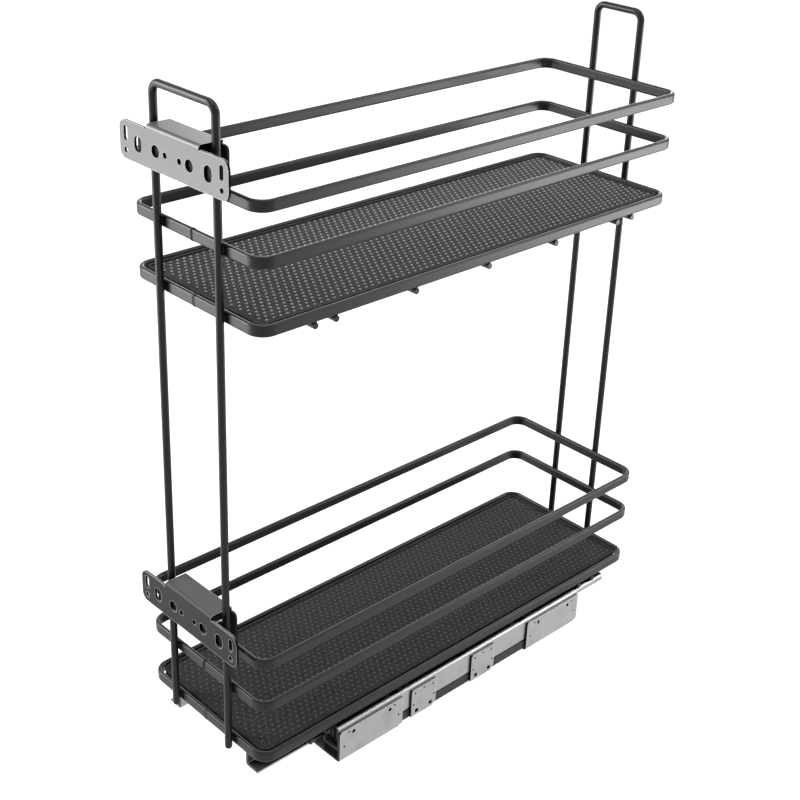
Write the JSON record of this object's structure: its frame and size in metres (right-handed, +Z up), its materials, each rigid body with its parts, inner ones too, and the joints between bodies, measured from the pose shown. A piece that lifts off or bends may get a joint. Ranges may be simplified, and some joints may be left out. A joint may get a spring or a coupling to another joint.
{
  "type": "pull-out cabinet basket",
  "caption": "Narrow two-tier wire basket that pulls out of a base cabinet on ball-bearing floor runners, with door brackets and lift-out anti-slip mats.",
  "frame": {"origin": "on the cabinet floor, at the centre of the four floor screws, midway between and along the runners", "axes": "+X across the cabinet to the side seen in the picture, -Y the way the basket pulls out, +Z up"},
  "size_m": [0.168, 0.4852, 0.579],
  "materials": {
    "coated_band": "satin anthracite powder coat",
    "coated_wire": "satin anthracite powder coat",
    "mat": "matt dark grey with raised dots",
    "bracket_steel": "satin grey powder coat",
    "bracket_dark": "satin dark grey coat",
    "black_plastic": "matt black",
    "bright_zinc": "bright zinc plated",
    "galvanised": "galvanised",
    "dark_profile": "dark grey",
    "rubber": "matt black",
    "ball_steel": "polished"
  },
  "bodies": {
    "base": {"right_channel": "galvanised", "left_channel": "galvanised", "right_base_profile": "dark_profile", "left_base_profile": "dark_profile", "right_base_plugs": "black_plastic", "left_base_plugs": "black_plastic", "right_front_plate": "galvanised", "left_front_plate": "galvanised", "right_rear_plate": "galvanised", "left_rear_plate": "galvanised", "right_short_plates": "galvanised", "left_short_plates": "galvanised", "right_rear_buffer": "rubber", "left_rear_buffer": "rubber"},
    "basket": {"front_loop": "coated_wire", "rear_loop": "coated_wire", "upper_top_ring": "coated_band", "upper_middle_ring": "coated_band", "upper_tray_ring": "coated_band", "upper_cross_wires": "coated_wire", "lower_top_ring": "coated_band", "lower_middle_ring": "coated_band", "lower_tray_ring": "coated_band", "lower_cross_wires": "coated_wire", "upper_door_bracket": "bracket_steel", "upper_clamp_plate": "coated_wire", "upper_post_jaw": "black_plastic", "upper_clamp_studs": "bright_zinc", "upper_clamp_nuts": "bright_zinc", "lower_door_bracket": "bracket_dark", "lower_clamp_plate": "coated_wire", "lower_post_jaw": "black_plastic", "lower_clamp_studs": "bright_zinc", "lower_clamp_nuts": "bright_zinc", "right_carriage_rail": "galvanised", "left_carriage_rail": "galvanised", "tray_clips": "black_plastic", "right_slide_bar": "galvanised", "left_slide_bar": "galvanised", "right_rivets": "bright_zinc", "left_rivets": "bright_zinc"},
    "upper_mat": {"upper_mat": "mat"},
    "lower_mat": {"lower_mat": "mat"},
    "right_middle": {"right_middle_member": "galvanised"},
    "right_outer_cage": {"right_outer_cage": "galvanised", "right_outer_balls": "ball_steel"},
    "right_inner_cage": {"right_inner_cage": "galvanised", "right_inner_balls": "ball_steel"},
    "left_middle": {"left_middle_member": "galvanised"},
    "left_outer_cage": {"left_outer_cage": "galvanised", "left_outer_balls": "ball_steel"},
    "left_inner_cage": {"left_inner_cage": "galvanised", "left_inner_balls": "ball_steel"}
  },
  "joints": [
    {"name": "basket_slide", "type": "slide", "parent": "base", "child": "basket", "axis": [0, -1, 0], "range_m": [0, 0.35]},
    {"name": "right_middle_slide", "type": "slide", "parent": "base", "child": "right_middle", "axis": [0, -1, 0], "range_m": [0, 0.175]},
    {"name": "right_outer_cage_slide", "type": "slide", "parent": "base", "child": "right_outer_cage", "axis": [0, -1, 0], "range_m": [0, 0.0875]},
    {"name": "right_inner_cage_slide", "type": "slide", "parent": "base", "child": "right_inner_cage", "axis": [0, -1, 0], "range_m": [0, 0.2625]},
    {"name": "left_middle_slide", "type": "slide", "parent": "base", "child": "left_middle", "axis": [0, -1, 0], "range_m": [0, 0.175]},
    {"name": "left_outer_cage_slide", "type": "slide", "parent": "base", "child": "left_outer_cage", "axis": [0, -1, 0], "range_m": [0, 0.0875]},
    {"name": "left_inner_cage_slide", "type": "slide", "parent": "base", "child": "left_inner_cage", "axis": [0, -1, 0], "range_m": [0, 0.2625]},
    {"name": "upper_mat_lift", "type": "slide", "parent": "basket", "child": "upper_mat", "axis": [0, 0, 1], "range_m": [0, 0.04]},
    {"name": "lower_mat_lift", "type": "slide", "parent": "basket", "child": "lower_mat", "axis": [0, 0, 1], "range_m": [0, 0.04]}
  ],
  "couplings": [
    {"joint": "right_middle_slide", "follows": "basket_slide", "ratio": 0.5},
    {"joint": "right_outer_cage_slide", "follows": "basket_slide", "ratio": 0.25},
    {"joint": "right_inner_cage_slide", "follows": "basket_slide", "ratio": 0.75},
    {"joint": "left_middle_slide", "follows": "basket_slide", "ratio": 0.5},
    {"joint": "left_outer_cage_slide", "follows": "basket_slide", "ratio": 0.25},
    {"joint": "left_inner_cage_slide", "follows": "basket_slide", "ratio": 0.75}
  ]
}
